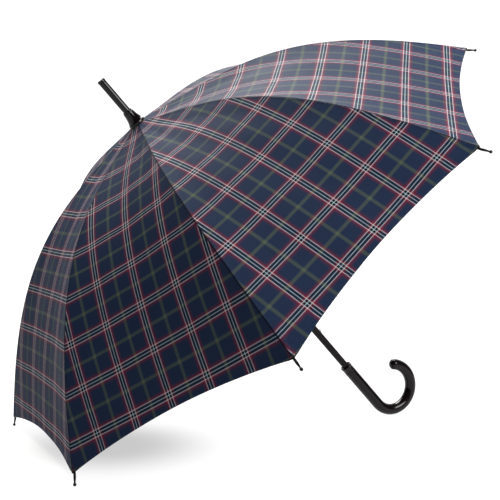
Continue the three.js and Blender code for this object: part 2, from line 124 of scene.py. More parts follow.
# ---- materials --------------------------------------------------------------------------
class Nodes:
    """A material with a Principled shader, and short calls that add nodes to it."""

    def __init__(self, name, **sockets):
        self.material = bpy.data.materials.new(name)
        self.material.use_nodes = True
        self.tree = self.material.node_tree
        self.tree.nodes.clear()
        out = self.tree.nodes.new("ShaderNodeOutputMaterial")
        self.shader = self.tree.nodes.new("ShaderNodeBsdfPrincipled")
        self.tree.links.new(self.shader.outputs[0], out.inputs[0])
        for key, value in sockets.items():
            self.shader.inputs[key.replace("_", " ")].default_value = value

    def put(self, node, socket, value):
        if isinstance(value, bpy.types.NodeSocket):
            self.tree.links.new(value, node.inputs[socket])
        elif value is not None:
            node.inputs[socket].default_value = value

    def math(self, op, a, b=None, c=None, clamp=False):
        n = self.tree.nodes.new("ShaderNodeMath")
        n.operation = op
        n.use_clamp = clamp
        for k, v in enumerate((a, b, c)):
            self.put(n, k, v)
        return n.outputs[0]

    def dot(self, a, b):
        n = self.tree.nodes.new("ShaderNodeVectorMath")
        n.operation = "DOT_PRODUCT"
        self.put(n, 0, a)
        n.inputs[1].default_value = tuple(b)
        return n.outputs["Value"]

    def combine(self, x, y, z):
        n = self.tree.nodes.new("ShaderNodeCombineXYZ")
        for k, v in enumerate((x, y, z)):
            self.put(n, k, v)
        return n.outputs[0]

    def split(self, v):
        n = self.tree.nodes.new("ShaderNodeSeparateXYZ")
        self.put(n, 0, v)
        return n.outputs[0], n.outputs[1]

    def uv(self, name):
        n = self.tree.nodes.new("ShaderNodeUVMap")
        n.uv_map = name
        return n.outputs[0]

    def place(self):
        """The point on the object in the umbrella's own axes, in metres."""
        n = self.tree.nodes.new("ShaderNodeTexCoord")
        p = n.outputs["Object"]
        return self.combine(self.dot(p, EX), self.dot(p, EY), self.dot(p, EZ))

    def scale(self, v, x, y, z):
        n = self.tree.nodes.new("ShaderNodeVectorMath")
        n.operation = "MULTIPLY"
        self.put(n, 0, v)
        n.inputs[1].default_value = (x, y, z)
        return n.outputs[0]

    def noise(self, v, scale, detail=3.0, roughness=0.55, distortion=0.0):
        n = self.tree.nodes.new("ShaderNodeTexNoise")
        self.put(n, "Vector", v)
        n.inputs["Scale"].default_value = scale
        n.inputs["Detail"].default_value = detail
        n.inputs["Roughness"].default_value = roughness
        n.inputs["Distortion"].default_value = distortion
        return n.outputs[0]

    def range(self, v, a, b, c, d, smooth=False):
        n = self.tree.nodes.new("ShaderNodeMapRange")
        n.clamp = True
        if smooth:
            n.interpolation_type = "SMOOTHSTEP"
        self.put(n, 0, v)
        for k, x in zip((1, 2, 3, 4), (a, b, c, d)):
            self.put(n, k, x)
        return n.outputs[0]

    def ramp(self, v, stops):
        n = self.tree.nodes.new("ShaderNodeValToRGB")
        self.put(n, 0, v)
        e = n.color_ramp.elements
        while len(e) < len(stops):
            e.new(0.5)
        for k, (at, color) in enumerate(stops):
            e[k].position = at
            e[k].color = (*color, 1)
        return n.outputs[0]

    def mix(self, fac, a, b, kind="MIX"):
        n = self.tree.nodes.new("ShaderNodeMix")
        n.data_type = "RGBA"
        n.blend_type = kind
        self.put(n, "Factor", fac)
        for key, v in ((6, a), (7, b)):
            if isinstance(v, tuple):
                n.inputs[key].default_value = (*v, 1)
            else:
                self.put(n, key, v)
        return n.outputs[2]

    def bump(self, height, distance, strength=1.0, normal=None):
        n = self.tree.nodes.new("ShaderNodeBump")
        self.put(n, "Height", height)
        n.inputs["Distance"].default_value = distance
        n.inputs["Strength"].default_value = strength
        self.put(n, "Normal", normal)
        return n.outputs[0]

    def end(self, color=None, roughness=None, normal=None):
        self.put(self.shader, "Base Color", color)
        self.put(self.shader, "Roughness", roughness)
        self.put(self.shader, "Normal", normal)
        return self.material


def srgb(r, g, b):
    def one(c):
        c /= 255
        return c / 12.92 if c <= 0.04045 else ((c + 0.055) / 1.055) ** 2.4

    return (one(r), one(g), one(b))


# the yarns of the check, from the middle of a group of stripes outwards, in millimetres
PERIOD_Y = 69.5
HALF = 35.0


def dye(r, g, b):
    return (DYE * r, DYE * g, DYE * b)


DYE = 0.52
PALE = dye(0.64, 0.84, 0.94)
INK = dye(0.010, 0.012, 0.016)
WHITE = dye(0.80, 0.75, 0.84)
RED = dye(0.36, 0.028, 0.050)
MAROON = dye(0.125, 0.026, 0.056)
NAVY = dye(0.0182, 0.0345, 0.0825)
TEAL = dye(0.058, 0.084, 0.098)
OLIVE = dye(0.110, 0.140, 0.090)
YARNS = [
    (0.0, PALE),
    (0.5, PALE),
    (0.7, INK),
    (4.2, INK),
    (4.4, WHITE),
    (5.5, WHITE),
    (5.75, RED),
    (7.0, RED),
    (7.6, MAROON),
    (9.0, MAROON),
    (11.8, NAVY),
    (31.2, NAVY),
    (32.6, TEAL),
    (33.6, OLIVE),
    (35.0, OLIVE),
]


def plaid_cloth():
    m = Nodes(
        "plaid_cloth",
        Sheen_Weight=0.013,
        Sheen_Roughness=0.35,
        Specular_IOR_Level=0.022,
        Roughness=0.6,
    )
    u, v = m.split(m.uv("weave"))
    colours = []
    for t in (u, v):
        near = m.math("ABSOLUTE", m.math("SUBTRACT", m.math("FRACT", m.math("ADD", t, 0.5)), 0.5))
        far = m.math("MULTIPLY", near, 2.0)
        colours.append(m.ramp(far, [(d / HALF, c) for d, c in YARNS]))
    x = m.math("MULTIPLY", u, 70.0)
    y = m.math("MULTIPLY", v, PERIOD_Y)
    # 2/2 twill: the warp lies over the weft along fine diagonal lines
    diagonal = m.math("SINE", m.math("MULTIPLY", m.math("ADD", x, y), 2 * math.pi / 0.9))
    over = m.math("MULTIPLY_ADD", diagonal, 0.22, 0.5)
    colour = m.mix(over, colours[0], colours[1])
    place = m.place()
    cloud = m.noise(place, 9.0, 3.0, 0.6)
    colour = m.mix(1.0, colour, m.mix(cloud, (0.86, 0.88, 0.92), (1.12, 1.1, 1.06)), "MULTIPLY")
    slub = m.noise(m.scale(m.combine(u, v, 0.0), 3.0, 240.0, 1.0), 1.0, 2.0)
    slub2 = m.noise(m.scale(m.combine(u, v, 0.0), 240.0, 3.0, 1.0), 1.0, 2.0)
    streak = m.math("ADD", slub, slub2)
    colour = m.mix(
        1.0, colour, m.mix(m.range(streak, 0.7, 1.3, 0.0, 1.0), (0.9, 0.9, 0.9), (1.1, 1.1, 1.1)), "MULTIPLY"
    )
    # seam along the rib with painted shade in its crease, its stitches, the hem and its stitches
    along, edge = m.split(m.uv("edge"))
    ds = m.math("MULTIPLY", along, 100.0)
    dh = m.math("MULTIPLY", edge, 100.0)
    # painted shade: the cloth darkens to near black within 2 mm of the rib, where its crease falls in shadow
    painted_crease_shade = m.range(ds, 0.5, 1.9, 1.0, 0.0, True)
    colour = m.mix(m.math("MULTIPLY", painted_crease_shade, 0.88), colour, srgb(9, 11, 20))
    dash = m.math("GREATER_THAN", m.math("FRACT", m.math("DIVIDE", y, 2.6)), 0.34)
    line = m.math("COMPARE", ds, 3.3, 0.22)
    colour = m.mix(m.math("MULTIPLY", m.math("MULTIPLY", dash, line), 0.7), colour, srgb(16, 20, 34))
    hem = m.range(dh, 2.0, 2.6, 1.0, 0.0)
    colour = m.mix(hem, colour, srgb(7, 8, 13))
    dash = m.math("GREATER_THAN", m.math("FRACT", m.math("DIVIDE", x, 2.6)), 0.34)
    line = m.math("COMPARE", dh, 5.6, 0.25)
    colour = m.mix(m.math("MULTIPLY", m.math("MULTIPLY", dash, line), 0.75), colour, srgb(14, 18, 30))
    # height: yarns, and the cloth drawn in a little by each stitch
    yarn = m.math(
        "MULTIPLY",
        m.math("SINE", m.math("MULTIPLY", x, 2 * math.pi / 0.45)),
        m.math("SINE", m.math("MULTIPLY", y, 2 * math.pi / 0.45)),
    )
    pucker = m.math(
        "MULTIPLY",
        m.math("SINE", m.math("MULTIPLY", m.math("ADD", y, m.math("MULTIPLY", cloud, 14.0)), 2 * math.pi / 6.5)),
        m.math("POWER", 2.718, m.math("MULTIPLY", ds, -0.16)),
    )
    pucker2 = m.math(
        "MULTIPLY",
        m.math("SINE", m.math("MULTIPLY", m.math("ADD", x, m.math("MULTIPLY", cloud, 14.0)), 2 * math.pi / 7.5)),
        m.math("POWER", 2.718, m.math("MULTIPLY", dh, -0.18)),
    )
    normal = m.bump(m.math("ADD", pucker, pucker2), 0.00022, 0.8)
    normal = m.bump(m.math("ADD", yarn, m.math("MULTIPLY", diagonal, 0.7)), 0.00004, 0.6, normal)
    rough = m.range(cloud, 0.3, 0.7, 0.56, 0.66)
    return m.end(colour, rough, normal)


def coated(name, base, dark, rough, spread, coat, shine, grain=900.0, run=26.0, lift=0.00002):
    """A black coat of lacquer or moulded plastic, with fine flow marks along the shaft and dust."""
    m = Nodes(name, Coat_Weight=coat, Coat_Roughness=0.08, Specular_IOR_Level=shine)
    p = m.place()
    flow = m.noise(m.scale(p, grain, grain, run), 1.0, 3.0)
    cloud = m.noise(p, 60.0, 4.0, 0.6)
    fine = m.noise(p, 1400.0, 2.0)
    colour = m.mix(m.range(cloud, 0.35, 0.7, 0.0, 1.0), base, dark)
    speck = m.range(m.noise(p, 2600.0, 1.0), 0.74, 0.8, 0.0, 0.35)
    colour = m.mix(speck, colour, tuple(min(1, 3.2 * c + 0.02) for c in base))
    r = m.range(m.math("ADD", flow, m.math("MULTIPLY", cloud, 0.6)), 0.5, 1.1, rough - spread, rough + spread)
    normal = m.bump(m.math("ADD", flow, m.math("MULTIPLY", fine, 0.5)), lift, 0.5)
    return m.end(colour, r, normal)


def metal(name, base, rough, turned=False):
    m = Nodes(name, Metallic=1.0)
    p = m.place()
    lines = m.noise(m.scale(p, *((40.0, 40.0, 2600.0) if turned else (2600.0, 2600.0, 40.0))), 1.0, 3.0)
    cloud = m.noise(p, 90.0, 4.0, 0.6)
    colour = m.mix(m.range(cloud, 0.3, 0.75, 0.0, 1.0), base, tuple(c * 0.62 for c in base))
    r = m.range(m.math("ADD", lines, m.math("MULTIPLY", cloud, 0.7)), 0.5, 1.2, rough - 0.08, rough + 0.1)
    return m.end(colour, r, m.bump(lines, 0.00003, 0.5))


def painted_steel():
    """Black-coated spring steel, with the coat thinner and greyer in places."""
    m = Nodes("frame_steel", Metallic=0.55, Specular_IOR_Level=0.5)
    p = m.place()
    cloud = m.noise(p, 120.0, 4.0, 0.65)
    fine = m.noise(p, 2200.0, 2.0)
    colour = m.mix(m.range(cloud, 0.35, 0.7, 0.0, 1.0), srgb(38, 38, 41), srgb(66, 66, 70))
    r = m.range(m.math("ADD", cloud, m.math("MULTIPLY", fine, 0.5)), 0.5, 1.0, 0.34, 0.5)
    return m.end(colour, r, m.bump(fine, 0.00003, 0.5))


def nylon():
    m = Nodes("black_nylon", Specular_IOR_Level=0.5)
    p = m.place()
    cloud = m.noise(p, 150.0, 4.0, 0.6)
    grain = m.noise(p, 3200.0, 3.0, 0.6)
    colour = m.mix(m.range(cloud, 0.35, 0.7, 0.0, 1.0), srgb(17, 17, 19), srgb(30, 30, 33))
    return m.end(colour, m.range(grain, 0.3, 0.7, 0.36, 0.54), m.bump(grain, 0.00005, 0.6))


def felt():
    m = Nodes("black_felt", Sheen_Weight=0.5, Sheen_Roughness=0.5, Specular_IOR_Level=0.2)
    p = m.place()
    fibre = m.noise(p, 1800.0, 5.0, 0.75, 1.2)
    colour = m.mix(fibre, srgb(12, 12, 16), srgb(44, 44, 50))
    return m.end(colour, m.range(fibre, 0.2, 0.8, 0.82, 1.0), m.bump(fibre, 0.0002, 0.8))


def thread():
    m = Nodes("black_thread", Sheen_Weight=0.2, Specular_IOR_Level=0.4)
    p = m.place()
    ply = m.noise(p, 2400.0, 3.0, 0.6, 0.8)
    colour = m.mix(ply, srgb(12, 13, 20), srgb(40, 42, 54))
    return m.end(colour, m.range(ply, 0.2, 0.8, 0.6, 0.85), m.bump(ply, 0.0001, 0.8))


CLOTH = plaid_cloth()
LACQUER = coated("black_lacquer", srgb(13, 10, 11), srgb(19, 15, 17), 0.36, 0.07, 0.02, 0.12)
GLOSS = coated("gloss_black", srgb(9, 5, 6), srgb(14, 8, 10), 0.15, 0.04, 0.04, 0.2, grain=260.0, run=60.0, lift=0.00001)
ROD = coated("rod_black", srgb(11, 10, 11), srgb(20, 19, 21), 0.36, 0.08, 0.02, 0.14)
STEEL = painted_steel()
BRIGHT = metal("bright_steel", srgb(196, 196, 200), 0.26)
NYLON = nylon()
FELT = felt()
THREAD = thread()


# ---- mesh helpers -----------------------------------------------------------------------
def make(name, verts, faces, material, uvs=None, smooth=True, sharp=None):
    """A mesh object from points in the umbrella's frame (mm)."""
    mesh = bpy.data.meshes.new(name)
    mesh.from_pydata(row(verts).tolist(), [], [tuple(int(k) for k in f) for f in faces])
    if uvs:
        index = np.zeros(len(mesh.loops), np.int32)
        mesh.loops.foreach_get("vertex_index", index)
        for key, values in uvs.items():
            layer = mesh.uv_layers.new(name=key)
            layer.data.foreach_set("uv", np.asarray(values, np.float32)[index].ravel())
    mesh.materials.append(material)
    mesh.validate()
    if smooth:
        mesh.shade_smooth()
        if sharp is not None:
            mesh.set_sharp_from_angle(angle=math.radians(sharp))
    o = bpy.data.objects.new(name, mesh)
    bpy.context.scene.collection.objects.link(o)
    return o


def joined(parts):
    verts, faces, n = [], [], 0
    for v, f in parts:
        v = np.asarray(v, float)
        verts.append(v)
        faces += [tuple(k + n for k in face) for face in f]
        n += len(v)
    return np.concatenate(verts), faces


def lathe(profile, sides=96):
    """A closed body of revolution about Z from (radius, height) pairs that start and end on the axis, or a closed ring."""
    profile = [tuple(map(float, p)) for p in profile]
    closed = profile[0] == profile[-1]
    if closed:
        profile = profile[:-1]
    verts, rings = [], []
    for r, z in profile:
        if r < 1e-9:
            rings.append([len(verts)])
            verts.append((0, 0, z))
            continue
        rings.append(list(range(len(verts), len(verts) + sides)))
        for k in range(sides):
            a = 2 * math.pi * k / sides
            verts.append((r * math.cos(a), r * math.sin(a), z))
    faces = []
    pairs = list(zip(rings, rings[1:]))
    if closed:
        pairs.append((rings[-1], rings[0]))
    for a, b in pairs:
        for k in range(sides):
            n = (k + 1) % sides
            if len(a) == 1 and len(b) == 1:
                continue
            if len(a) == 1:
                faces.append((a[0], b[n], b[k]))
            elif len(b) == 1:
                faces.append((a[k], a[n], b[0]))
            else:
                faces.append((a[k], a[n], b[n], b[k]))
    return facing_out(np.array(verts, float), faces)


def volume(verts, faces):
    total = 0.0
    for f in faces:
        a = verts[f[0]]
        for j in range(1, len(f) - 1):
            total += float(np.dot(a, np.cross(verts[f[j]], verts[f[j + 1]])))
    return total / 6


def facing_out(verts, faces):
    if volume(verts, faces) < 0:
        faces = [tuple(reversed(f)) for f in faces]
    return verts, faces


def curve_of(points, n):
    """n points on a smooth line through the given ones (Catmull-Rom, even in parameter)."""
    p = np.asarray(points, float)
    p = np.vstack([2 * p[0] - p[1], p, 2 * p[-1] - p[-2]])
    out = []
    spans = len(p) - 3
    for t in np.linspace(0, spans, n):
        k = min(int(t), spans - 1)
        s = t - k
        a, b, c, d = p[k : k + 4]
        out.append(
            0.5 * ((2 * b) + (c - a) * s + (2 * a - 5 * b + 4 * c - d) * s * s + (3 * b - a - 3 * c + d) * s**3)
        )
    return np.array(out)


def sweep(path, sections, side):
    """A closed body along a path: sections[k] is a list of (across, up) points, side the direction across."""
    path = np.asarray(path, float)
    side = np.asarray(side, float)
    n = len(path)
    verts = []
    m = len(sections[0])
    for k in range(n):
        d = path[min(n - 1, k + 1)] - path[max(0, k - 1)]
        d /= np.linalg.norm(d)
        up = np.cross(d, side)
        up /= np.linalg.norm(up)
        for a, b in sections[k]:
            verts.append(path[k] + side * a + up * b)
    faces = []
    for k in range(n - 1):
        for j in range(m):
            a, b = k * m + j, k * m + (j + 1) % m
            faces.append((a, b, b + m, a + m))
    faces.append(tuple(reversed(range(m))))
    faces.append(tuple(range((n - 1) * m, n * m)))
    return facing_out(np.array(verts), faces)


def round_section(r, sides=20):
    return [(r * math.cos(2 * math.pi * k / sides), r * math.sin(2 * math.pi * k / sides)) for k in range(sides)]


def channel(w, h, t, up=1.0):
    """The section of a U channel, open away from up."""
    return [
        (-w / 2, -up * h / 2),
        (-w / 2, up * (h / 2 - 0.5)),
        (-w / 2 + 0.5, up * h / 2),
        (w / 2 - 0.5, up * h / 2),
        (w / 2, up * (h / 2 - 0.5)),
        (w / 2, -up * h / 2),
        (w / 2 - t, -up * h / 2),
        (w / 2 - t, up * (h / 2 - t - 0.2)),
        (w / 2 - t - 0.2, up * (h / 2 - t)),
        (-w / 2 + t + 0.2, up * (h / 2 - t)),
        (-w / 2 + t, up * (h / 2 - t - 0.2)),
        (-w / 2 + t, -up * h / 2),
    ]


def plate(outline, t, y=0.0, holes=(), bevel=0.12):
    """A flat plate in the X-Z plane, t thick across Y and centred on y, with round holes (x, z, r)."""
    data = bpy.data.curves.new("plate", "CURVE")
    data.dimensions = "2D"
    data.fill_mode = "BOTH"
    data.extrude = t / 2 - bevel
    data.bevel_depth = bevel
    data.bevel_resolution = 1
    data.offset = -bevel

    def ring(points):
        s = data.splines.new("POLY")
        s.points.add(len(points) - 1)
        for k, (a, b) in enumerate(points):
            s.points[k].co = (a, b, 0, 1)
        s.use_cyclic_u = True

    ring(outline)
    for x, z, r in holes:
        ring([(x + r * math.cos(2 * math.pi * k / 20), z + r * math.sin(2 * math.pi * k / 20)) for k in range(20)])
    o = bpy.data.objects.new("plate", data)
    mesh = bpy.data.meshes.new_from_object(o)
    co = np.array([v.co for v in mesh.vertices], float)
    faces = [tuple(p.vertices) for p in mesh.polygons]
    bpy.data.objects.remove(o)
    bpy.data.curves.remove(data)
    bpy.data.meshes.remove(mesh)
    # merge the doubles that the curve's caps leave
    key = {}
    first = []
    for k, c in enumerate(np.round(co, 5)):
        first.append(key.setdefault(tuple(c), k))
    used = sorted(set(first))
    renumber = {k: n for n, k in enumerate(used)}
    faces = [tuple(renumber[first[k]] for k in f) for f in faces]
    clean = []
    for f in faces:
        g = [a for j, a in enumerate(f) if a != f[j - 1]]
        if len(set(g)) >= 3:
            clean.append(tuple(g))
    co = co[used]
    verts = np.stack([co[:, 0], y + co[:, 2], co[:, 1]], -1)
    return facing_out(verts, clean)


def bar(line, h, round_start=False, round_end=False):
    """The outline of a bar of height h along a line of (x, z) points."""
    p = np.asarray(line, float)
    n = len(p)
    up, dn, normals = [], [], []
    for k in range(n):
        d = p[min(n - 1, k + 1)] - p[max(0, k - 1)]
        d /= np.linalg.norm(d)
        normals.append(np.array([-d[1], d[0]]))
        up.append(p[k] + normals[k] * h / 2)
        dn.append(p[k] - normals[k] * h / 2)

    def cap(c, nrm, sign):
        out = []
        for j in range(1, 10):
            a = j * math.pi / 10
            out.append(
                (
                    c[0] + h / 2 * (math.cos(a) * nrm[0] + sign * math.sin(a) * nrm[1]),
                    c[1] + h / 2 * (math.cos(a) * nrm[1] - sign * math.sin(a) * nrm[0]),
                )
            )
        return out

    return (
        [tuple(q) for q in up]
        + (cap(p[-1], normals[-1], 1) if round_end else [])
        + [tuple(q) for q in reversed(dn)]
        + (list(reversed(cap(p[0], normals[0], -1))) if round_start else [])
    )


def block(x, y, z, w, d, h, turn=0.0):
    """A box w across, d along and h high, centred at (x, y, z) before it is turned about Z."""
    v = np.array(
        [(x + a * d / 2, y + b * w / 2, z + c * h / 2) for a in (-1, 1) for b in (-1, 1) for c in (-1, 1)]
    )
    s, k = math.sin(turn), math.cos(turn)
    v = np.stack([v[:, 0] * k - v[:, 1] * s, v[:, 0] * s + v[:, 1] * k, v[:, 2]], -1)
    return facing_out(v, [(0, 1, 3, 2), (4, 6, 7, 5), (0, 4, 5, 1), (2, 3, 7, 6), (0, 2, 6, 4), (1, 5, 7, 3)])


def carve(o, cutters):
    """Cuts bodies (in the umbrella's frame) out of a piece, and leaves plain mesh."""
    for k, (v, f) in enumerate(cutters):
        c = make(f"cutter_{k}", v, f, NYLON, smooth=False)
        mod = o.modifiers.new("cut", "BOOLEAN")
        mod.operation = "DIFFERENCE"
        mod.solver = "EXACT"
        mod.object = c
        dg = bpy.context.evaluated_depsgraph_get()
        mesh = bpy.data.meshes.new_from_object(o.evaluated_get(dg))
        o.modifiers.clear()
        old = o.data
        o.data = mesh
        mesh.name = o.name
        bpy.data.meshes.remove(old)
        bpy.data.objects.remove(c)
    o.data.shade_smooth()
    o.data.set_sharp_from_angle(angle=math.radians(32))
    return o


# ---- dimensions, as in the CAD source -----------------------------------------------------
SPAN_R = 525.0
DOME = (123.12, -307.51, 772.99, -318.69)
HOLE_R = 7.9
HEM_BOW = 13.0
CLOTH_SAG = 8.0
SHAFT_R, SHAFT_BORE, SHAFT_TOP, SHAFT_END = 6.5, 5.6, 8.0, -676.0
FERRULE_R, FERRULE_TOP = 6.65, 91.6
BELL_TOP, BELL_R = 25.0, 15.2
HINGE_R, CROWN_Z, NOTCH_R = 10.5, -9.0, 14.0
RIB_DROP, RIB_H, RIB_W = 4.4, 3.0, 3.0
CLIP_R, CLIP_DROP, SPLICE_R = 249.0, 4.9, 255.0
EYE_R, EYE_HOLE = 1.7, 0.9
SLEEVE_R, SLEEVE_L, GRIP_R = 8.3, 36.5, 11.5
TIP_L, BALL_R = 16.0, 2.6
HANDLE_R, COLLAR_TOP, COLLAR_L = 10.6, -612.8, 13.0
BEND_START, BEND_R, BEND_ARC, BEND_TURN = -722.7, 44.45, 3.8658, math.pi / 8
GAP = 0.3


def depth(r):
    q = np.asarray(r, float) / SPAN_R
    return sum(a * q ** (k + 1) for k, a in enumerate(DOME))


def slope(f, r):
    d = np.stack([np.full_like(np.asarray(r, float), 2.0), f(np.asarray(r) + 1.0) - f(np.asarray(r) - 1.0)], -1)
    return d / np.linalg.norm(d, axis=-1, keepdims=True)


START_DROP = -CROWN_Z - float(depth(HINGE_R)) - RIB_DROP


def rib_z(r):
    r = np.asarray(r, float)
    return (
        -depth(r) - RIB_DROP - np.where(r < 60, START_DROP * (1 - (r - HINGE_R) / (60 - HINGE_R)) ** 2, 0.0)
    )


def rib_point(r):
    return np.array([float(r), float(rib_z(r))])


pivot = np.array([HINGE_R, CROWN_Z])
s_clip = slope(rib_z, CLIP_R)
clip = np.array([CLIP_R + s_clip[1] * CLIP_DROP, float(rib_z(CLIP_R)) - s_clip[0] * CLIP_DROP])
L_STRETCH = float(np.linalg.norm(clip - pivot))
runner_hinge = np.array([HINGE_R, 2 * clip[1] - pivot[1]])

# ---- the cover ----------------------------------------------------------------------------
EIGHTH = math.pi / 4
ARC_R = np.linspace(0, SPAN_R, 2001)
ARC_S = np.concatenate(
    [[0], np.cumsum(np.hypot(np.diff(ARC_R) * math.cos(EIGHTH / 2), np.diff(depth(ARC_R))))]
)
# where the check falls on each panel: its offset from the panel's middle and its repeat, in mm
CHECK = {1: (17.5, 71.0), 2: (-10.3, 70.5), 3: (0.5, 68.4), 4: (-8.0, 73.5), 5: (-21.0, 70.0), 6: (8.0, 70.0), 7: (-14.0, 70.0), 8: (-20.5, 72.0)}
CHECK_Y = 36.7


def cover_point(r, m, gore):
    """The cloth's middle surface at radius r, share m of the way from rib gore to the next one."""
    r, m = np.broadcast_arrays(np.asarray(r, float), np.asarray(m, float))
    bow = 4 * m * (1 - m)
    rr = r - HEM_BOW * (r / SPAN_R) ** 3 * bow
    t0, t1 = angle_of(gore), angle_of(gore + 1)
    z = -depth(rr)
    p = np.stack(
        [
            rr * ((1 - m) * math.cos(t0) + m * math.cos(t1)),
            rr * ((1 - m) * math.sin(t0) + m * math.sin(t1)),
            z,
        ],
        -1,
    )
    s = slope(lambda x: -depth(x), np.maximum(2.0, rr))
    q = r / SPAN_R
    # taut between two ribs: the cloth leaves the rib in a short curve and is nearly flat across the panel
    sag = CLOTH_SAG * bow * np.sin(0.7 * np.pi * q) * np.minimum(1, 8 * q)
    mid = (t0 + t1) / 2
    inward = np.stack([np.cos(mid) * s[..., 1], np.sin(mid) * s[..., 1], -s[..., 0]], -1)
    # slight waves in the cloth: long ones across the panel, and pulls that start at the corners
    ds = np.minimum(m, 1 - m) * 2 * rr * math.sin(EIGHTH / 2)
    dh = ARC_S[-1] - np.interp(rr, ARC_R, ARC_S)
    ease = np.clip(ds / 30, 0, 1) ** 2 * np.clip(dh / 25, 0, 1)
    wave = 0.55 * np.sin(2 * np.pi * (m * 2.5 + 0.11 * gore + r / 410)) * ease
    corner = np.hypot(ds, dh)
    pull = 0.7 * np.sin(np.arctan2(ds, dh + 1.0) * 15 + gore) * np.exp(-corner / 55) * np.clip(corner / 16, 0, 1) * np.clip(ds / 6, 0, 1)
    return p + inward * (sag + wave + pull)[..., None], rr, ds, dh


NEAR_D = [0, 0.45, 1.0, 1.7, 2.6, 3.6, 5.0, 7.0, 10.0, 14.5]


def half_columns(rr, far=17):
    """Shares of a panel's width, from the rib to the panel's middle: close together beside the seam."""
    width = 2 * rr * math.sin(EIGHTH / 2)
    fit = min(1.0, (width / 2) / 34.0)
    near = [d * fit / width for d in NEAR_D]
    rest = np.linspace(near[-1], 0.5, far + 1)[1:]
    return np.array(near + list(rest))


def cover_piece(name, i, side, stations):
    """Half a panel beside rib i (side a: towards the next rib, b: towards the one before), along stations of r."""
    gore = i if side == "a" else (i - 2) % 8 + 1
    rows_m = []
    for r in stations:
        m = half_columns(max(r, 1.0))
        rows_m.append(m if side == "a" else 1 - m)
    M = np.array(rows_m)
    R = np.repeat(np.array(stations, float)[:, None], M.shape[1], 1)
    P, rr, ds, dh = cover_point(R, M, gore)
    # normal by small steps over the whole panel, so that it is the same on both sides of every edge
    e = 0.35
    em = e / (2 * np.maximum(rr, 4) * math.sin(EIGHTH / 2))
    lo, hi = np.clip(M - em, 0, 1), np.clip(M + em, 0, 1)
    a = cover_point(R + e, M, gore)[0] - cover_point(R - e, M, gore)[0]
    b = cover_point(R, hi, gore)[0] - cover_point(R, lo, gore)[0]
    N = np.cross(b, a)
    N *= np.sign(N[..., 2:3] + 1e-12)
    # at the rib the two panels meet: the normal stands in the rib's plane
    t = angle_of(i)
    across = np.array([-math.sin(t), math.cos(t), 0.0])
    w = np.exp(-((ds / 1.6) ** 2))[..., None]
    N = N - across * ((N @ across)[..., None] * w)
    N /= np.linalg.norm(N, axis=-1, keepdims=True)
    fit = np.minimum(1.0, rr / 60.0)
    ridge = 0.38 * np.exp(-((ds / 3.4) ** 2)) - 0.5 * np.exp(-((ds / 0.75) ** 2))
    thick_seam = 1.15 * fit / (1 + np.exp((ds - 3.2) * 3.0))
    hem = 1 / (1 + np.exp((dh - 7.0) * 2.0))
    top = P + N * (0.25 + ridge * fit + 0.28 * hem)[..., None]
    low = P - N * (0.25 + thick_seam * (1 - 0.6 * hem) + 0.3 * hem)[..., None]
    nr, nc = M.shape
    verts = np.concatenate([top.reshape(-1, 3), low.reshape(-1, 3)])
    x0, period = CHECK[gore]
    x = (M - 0.5) * 2 * rr * math.sin(EIGHTH / 2)
    y = ARC_S[-1] - np.interp(rr, ARC_R, ARC_S)
    weave = np.stack([(x - x0) / period, (y - CHECK_Y) / PERIOD_Y], -1).reshape(-1, 2)
    edge = np.stack([ds / 100, dh / 100], -1).reshape(-1, 2)
    n = nr * nc
    faces = []
    for k in range(nr - 1):
        for j in range(nc - 1):
            q = k * nc + j
            faces.append((q, q + 1, q + nc + 1, q + nc))
            faces.append((n + q, n + q + nc, n + q + nc + 1, n + q + 1))
    border = (
        [k * nc for k in range(nr)]
        + [(nr - 1) * nc + j for j in range(1, nc)]
        + [k * nc + nc - 1 for k in range(nr - 2, -1, -1)]
        + [j for j in range(nc - 2, 0, -1)]
    )
    flip = side == "b"
    for p, q in zip(border, border[1:] + border[:1]):
        faces.append((p, q, n + q, n + p))
    uvs = {"weave": np.concatenate([weave, weave]), "edge": np.concatenate([edge, edge])}
    verts, faces = facing_out(verts, faces)
    o = make(name, verts, faces, CLOTH, uvs, sharp=50)
    # the flat cut's size, along and across the panel
    flat_area = 0.0
    fx, fy = x * 0.001, y * 0.001
    for k in range(nr - 1):
        w0, w1 = abs(fx[k, -1] - fx[k, 0]), abs(fx[k + 1, -1] - fx[k + 1, 0])
        flat_area += 0.5 * (w0 + w1) * abs(fy[k, 0] - fy[k + 1, 0])
    width = float(np.abs(fx[:, -1] - fx[:, 0]).max())
    length = float(abs(fy[0, 0] - fy[-1, 0]))
    return o, width, length, flat_area


# The cover closes in pleats. Each half panel is cut into bands, each carried by the part it is sewn to.
# (name, stations, what it is sewn to, share of the width that the closed pleat keeps)
BANDS = [
    ("crown", [HOLE_R, 10, 13, 16.5, 21, 26, 32], "rib_{}", 0.66),
    ("upper", [32, 39, 47, 56, 66], "rib_{}", 0.40),
    ("middle", [66, 77, 88, 98.5, 109, 120], "rib_{}", 0.235),
    ("inner", [120] + list(np.linspace(129, SPLICE_R, 15)), "rib_{}", 0.165),
    ("outer", list(np.linspace(SPLICE_R, 500, 32)) + [506, 511, 515, 518, 520.5, 522.3, 523.6, 524.5, SPAN_R], "rib_{}_end", 0.16),
]

for i in range(1, 9):
    for side in "ab":
        for band, stations, body, keep in BANDS:
            o, width, length, area = cover_piece(f"cover_{i}{side}_{band}", i, side, stations)
            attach(o, body.format(i))
            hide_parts(f"cover_panel_{i}")
            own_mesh(o)

# ---- ribs, stretchers and tips ----------------------------------------------------------------
def in_plane(points2, y=0.0):
    p = np.asarray(points2, float)
    return np.stack([p[:, 0], np.full(len(p), y), p[:, 1]], -1)


